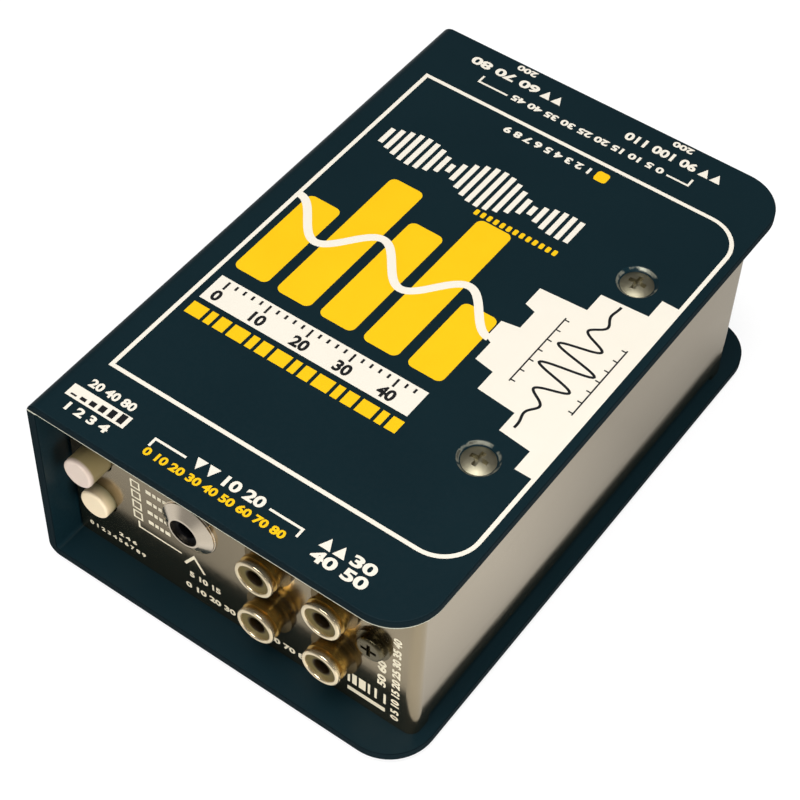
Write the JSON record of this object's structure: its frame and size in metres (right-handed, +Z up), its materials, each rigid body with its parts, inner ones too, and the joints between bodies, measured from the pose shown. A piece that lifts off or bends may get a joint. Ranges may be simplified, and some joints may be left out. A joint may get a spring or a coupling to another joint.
{
  "type": "phono preamp",
  "caption": "Small phono preamp in a folded steel sleeve, with stacked phono sockets, a small jack and push buttons in front and balanced sockets behind.",
  "frame": {"origin": "on the table, under the middle of the box", "axes": "+Y from the connector end to the balanced output end, +Z up, +X towards the open side of the sleeve"},
  "size_m": [0.084, 0.1294, 0.0465],
  "materials": {
    "black_moulding": "moulded thermoplastic",
    "black_rubber": "matt non-slip rubber",
    "board_laminate": "green solder resist on glass laminate",
    "capacitor_sleeve": "printed shrink sleeve",
    "chip_moulding": "black epoxy moulding",
    "film_capacitor_box": "moulded box",
    "gilt_sleeve": "gold plate on brass",
    "ground_hardware": "nickel plate",
    "ivory_cap": "moulded plastic, satin",
    "navy_powder_coat": "semi-gloss navy powder coat with cream and yellow screen print",
    "nickel_nut": "bright nickel plate",
    "plunger_plastic": "moulded acetal",
    "resistor_body": "lacquered body with colour bands",
    "satin_steel": "satin bare steel",
    "socket_insulator": "pale grey nylon",
    "spring_contact": "plated phosphor bronze",
    "spring_wire": "spring steel wire",
    "switch_body": "moulding under a pressed frame",
    "xlr_die_casting": "satin black finish on die casting",
    "xlr_insert": "glass-filled nylon",
    "xlr_pin": "silver plate",
    "xlr_screw": "black oxide",
    "zinc_hardware": "zinc plate",
    "zinc_screw": "bright zinc plate"
  },
  "bodies": {
    "housing": {"amplifier_chips": "chip_moulding", "base_pad": "black_rubber", "board_screws": "zinc_hardware", "board_spacers": "zinc_hardware", "chassis": "satin_steel", "circuit_board": "board_laminate", "clinch_nuts": "zinc_hardware", "cover_screws_base": "zinc_screw", "cover_screws_top": "zinc_screw", "electrolytic_capacitors": "capacitor_sleeve", "film_capacitors": "film_capacitor_box", "ground_nut": "zinc_hardware", "minijack_body": "black_moulding", "minijack_contacts": "spring_contact", "minijack_nose": "black_moulding", "minijack_nut": "nickel_nut", "minijack_washer": "nickel_nut", "outer_shell": "navy_powder_coat", "phono_block_in": "black_moulding", "phono_block_out": "black_moulding", "phono_contact_in_left": "spring_contact", "phono_contact_in_right": "spring_contact", "phono_contact_out_left": "spring_contact", "phono_contact_out_right": "spring_contact", "phono_insulator_in_left": "socket_insulator", "phono_insulator_in_right": "socket_insulator", "phono_insulator_out_left": "socket_insulator", "phono_insulator_out_right": "socket_insulator", "phono_sleeve_in_left": "gilt_sleeve", "phono_sleeve_in_right": "gilt_sleeve", "phono_sleeve_out_left": "gilt_sleeve", "phono_sleeve_out_right": "gilt_sleeve", "power_inlet_body": "black_moulding", "power_inlet_pin": "nickel_nut", "resistors": "resistor_body", "switch_body_lower": "switch_body", "switch_body_upper": "switch_body", "switch_riser_board": "board_laminate", "switch_spring_lower": "spring_wire", "switch_spring_upper": "spring_wire", "transistors": "chip_moulding", "xlr_insert_left": "xlr_insert", "xlr_insert_right": "xlr_insert", "xlr_nuts": "zinc_hardware", "xlr_pins_left": "xlr_pin", "xlr_pins_right": "xlr_pin", "xlr_screws": "xlr_screw", "xlr_shell_left": "xlr_die_casting", "xlr_shell_right": "xlr_die_casting"},
    "button_upper": {"button_cap_upper": "ivory_cap", "button_plunger_upper": "plunger_plastic"},
    "button_lower": {"button_cap_lower": "ivory_cap", "button_plunger_lower": "plunger_plastic"},
    "ground_washer": {"ground_washer": "ground_hardware"},
    "ground_screw": {"ground_screw": "ground_hardware"}
  },
  "joints": [
    {"name": "button_upper_press", "type": "slide", "parent": "housing", "child": "button_upper", "axis": [0, 1, 0], "range_m": [0, 0.003], "stiffness_N_per_m": 300, "springref_m": -0.001, "deforming": ["switch_spring_upper"]},
    {"name": "button_lower_release", "type": "slide", "parent": "housing", "child": "button_lower", "axis": [0, 1, 0], "range_m": [-0.003, 0.0005], "deforming": ["switch_spring_lower"]},
    {"name": "ground_washer_lift", "type": "slide", "parent": "housing", "child": "ground_washer", "axis": [0, -1, 0], "range_m": [0, 0.002]},
    {"name": "ground_screw_turn", "type": "hinge", "parent": "ground_washer", "child": "ground_screw", "pos_m": [0.0303, -0.0581, 0.0266], "axis": [0, -1, 0], "range_deg": [0, 1440]}
  ],
  "couplings": [
    {"joint": "ground_screw_turn", "follows": "ground_washer_lift", "rad_per_m": 12566}
  ]
}
